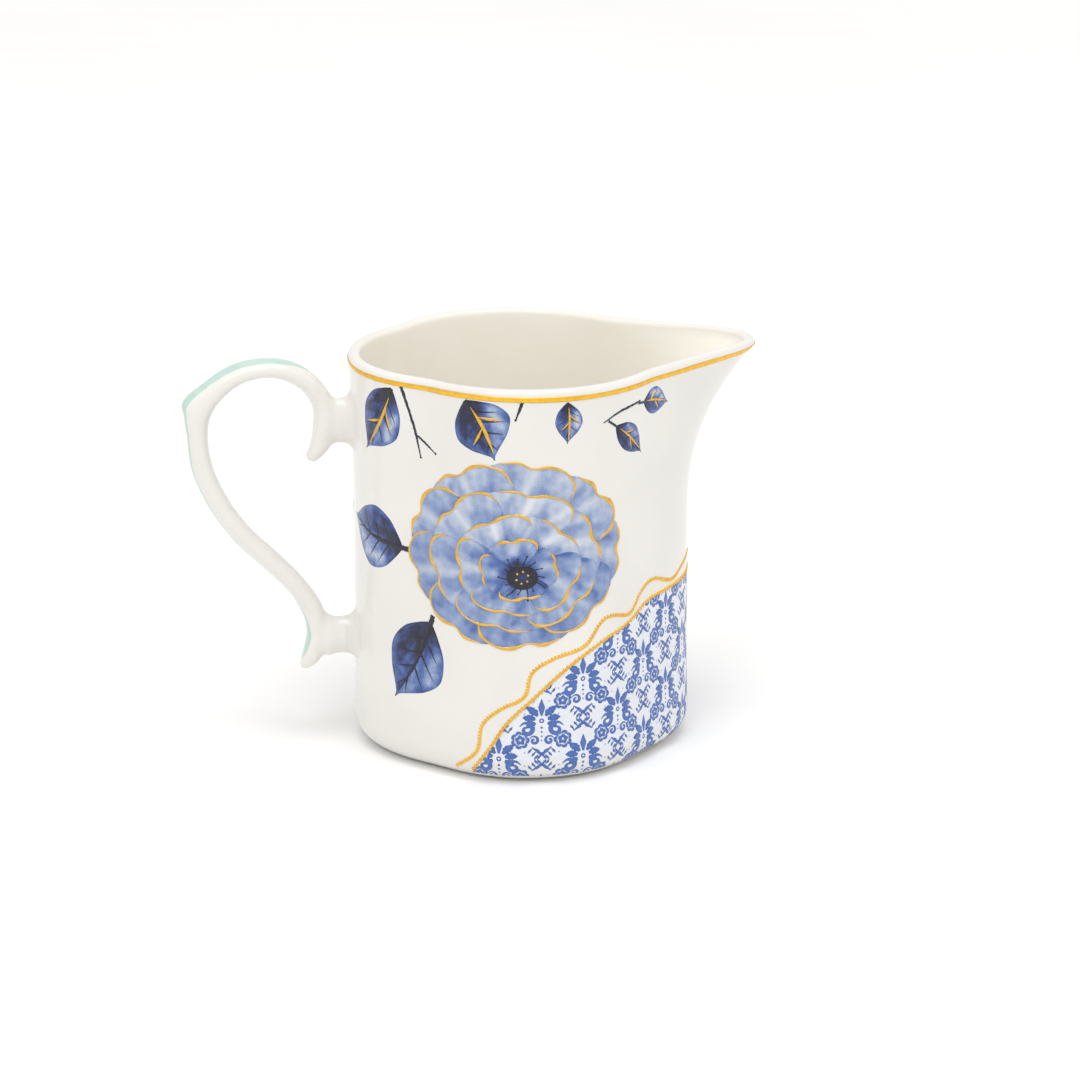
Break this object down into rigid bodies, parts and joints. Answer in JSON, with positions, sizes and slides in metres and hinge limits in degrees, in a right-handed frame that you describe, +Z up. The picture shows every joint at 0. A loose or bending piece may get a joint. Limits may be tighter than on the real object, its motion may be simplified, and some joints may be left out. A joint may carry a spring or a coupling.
{
  "type": "cream jug",
  "caption": "Small porcelain jug with softly lobed straight wall, pulled pouring lip, scrolled side handle on two stems, and a blue flower, leaf and scroll decoration with gold lines.",
  "frame": {"origin": "on the table plane, in the middle of the foot ring, on the axis of the straight wall", "axes": "+Z up, +X towards the pouring lip with the handle on the -X side, +Y to the side away from the viewer of the pictured face"},
  "size_m": [0.1232, 0.074, 0.0867],
  "materials": {
    "white_porcelain": "clear glaze over a fine white body",
    "slip_fillet": "glazed slip, wiped to a hollow fillet",
    "gold_enamel": "fired gold colour, slightly raised, glossy",
    "mint_enamel": "opaque pale green enamel, glossy",
    "petal_blue": "fired transfer with soft blue washes, glossy",
    "leaf_blue": "fired transfer with deep blue washes, glossy",
    "twig_navy": "fired dark blue line, glossy",
    "damask_blue": "fired transfer of fine blue scrolls on the white glaze"
  },
  "bodies": {
    "root": {"jug_body": "white_porcelain", "handle": "white_porcelain", "upper_luting": "slip_fillet", "lower_luting": "slip_fillet", "gold_rim_line": "gold_enamel", "mint_handle_crest": "mint_enamel", "mint_handle_spine": "mint_enamel", "mint_handle_tail": "mint_enamel", "front_peony_transfer": "petal_blue", "front_leaf_under_rim": "leaf_blue", "front_leaf_above_peony": "leaf_blue", "front_bud_leaf": "leaf_blue", "front_lip_leaf_pair": "leaf_blue", "front_leaf_by_handle": "leaf_blue", "front_leaf_below_peony": "leaf_blue", "front_twigs": "twig_navy", "front_damask_transfer": "damask_blue", "front_straight_braid": "gold_enamel", "front_wavy_braid": "gold_enamel", "back_peony_transfer": "petal_blue", "back_leaf_under_rim": "leaf_blue", "back_leaf_above_peony": "leaf_blue", "back_bud_leaf": "leaf_blue", "back_lip_leaf_pair": "leaf_blue", "back_leaf_by_handle": "leaf_blue", "back_leaf_below_peony": "leaf_blue", "back_twigs": "twig_navy", "back_damask_transfer": "damask_blue", "back_straight_braid": "gold_enamel", "back_wavy_braid": "gold_enamel"}
  },
  "joints": []
}
